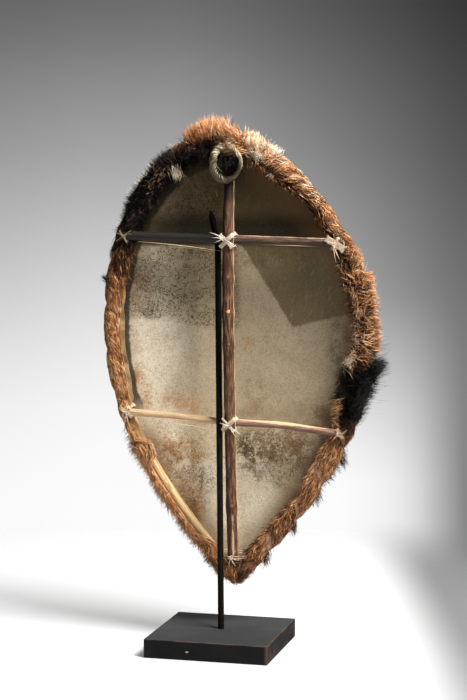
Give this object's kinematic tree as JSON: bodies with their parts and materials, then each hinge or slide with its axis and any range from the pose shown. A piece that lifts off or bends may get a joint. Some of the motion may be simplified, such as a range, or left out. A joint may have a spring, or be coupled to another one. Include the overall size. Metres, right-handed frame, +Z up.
{
  "type": "hide shield on stand",
  "caption": "Oval hide shield with hair-on edge binding, bent hoop, crossbars and upright tied with thongs, hung on a bent rod in a square block",
  "frame": {"origin": "centre of the block's underside, on the floor", "axes": "+Z up, the longest way; -Y towards the shield's holder's side, which the picture shows; +X to that viewer's right"},
  "size_m": [0.4493, 0.2, 0.8358],
  "materials": {
    "block_black": "black stained, edges rubbed brown",
    "rod_black": "satin black",
    "rawhide": "matt, stained",
    "peeled_wood": "matt, peeled",
    "hair_on_hide": "hairy",
    "dark_bark": "satin bark",
    "brown_bark": "bark, partly peeled",
    "thong": "matt"
  },
  "bodies": {
    "root": {"base_block": "block_black", "stand_rod": "rod_black", "hide_face": "rawhide", "rim_hoop": "peeled_wood", "rim_binding": "hair_on_hide", "centre_stick": "dark_bark", "upper_crossbar": "dark_bark", "lower_crossbar": "brown_bark", "carrying_loop": "thong", "upper_cross_lashing": "thong", "lower_cross_lashing": "thong", "upper_left_lashing": "thong", "upper_right_lashing": "thong", "lower_left_lashing": "thong", "lower_right_lashing": "thong", "foot_lashing": "thong"}
  },
  "joints": []
}
